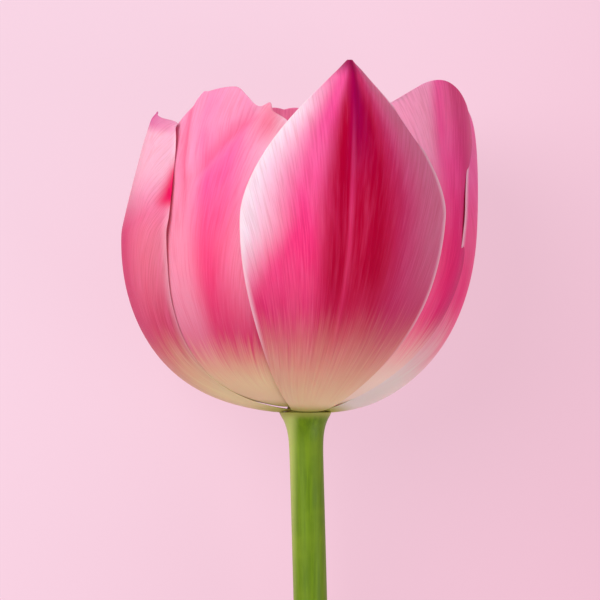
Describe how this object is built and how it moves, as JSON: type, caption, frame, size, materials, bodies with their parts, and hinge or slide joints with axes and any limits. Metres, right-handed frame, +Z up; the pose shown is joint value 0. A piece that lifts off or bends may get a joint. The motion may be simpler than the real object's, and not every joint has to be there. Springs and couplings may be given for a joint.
{
  "type": "cut tulip",
  "caption": "Cut tulip lying on its side: a closed cup of broad, pointed petals on a bare, slightly bowed stem.",
  "frame": {"origin": "middle of the underside of the bounding box, on the floor the flower lies on", "axes": "+Y from the cut end of the stem towards the flower, +Z up from the floor; the flower's own axis rises 7.3 degrees towards the flower"},
  "size_m": [0.0716, 0.2664, 0.0685],
  "materials": {
    "stem": "satin green skin",
    "petal_outer": "satin, finely veined",
    "petal_inner": "satin, finely veined",
    "pistil": "satin",
    "filament": "satin",
    "anther": "matt, powdery"
  },
  "bodies": {
    "root": {"stem": "stem", "tepal_outer_front": "petal_outer", "tepal_outer_right": "petal_outer", "tepal_outer_left": "petal_outer", "tepal_inner_left": "petal_inner", "tepal_inner_right": "petal_inner", "tepal_inner_back": "petal_inner", "pistil": "pistil", "filament_1": "filament", "filament_2": "filament", "filament_3": "filament", "filament_4": "filament", "filament_5": "filament", "filament_6": "filament", "anther_1": "anther", "anther_2": "anther", "anther_3": "anther", "anther_4": "anther", "anther_5": "anther", "anther_6": "anther"}
  },
  "joints": []
}
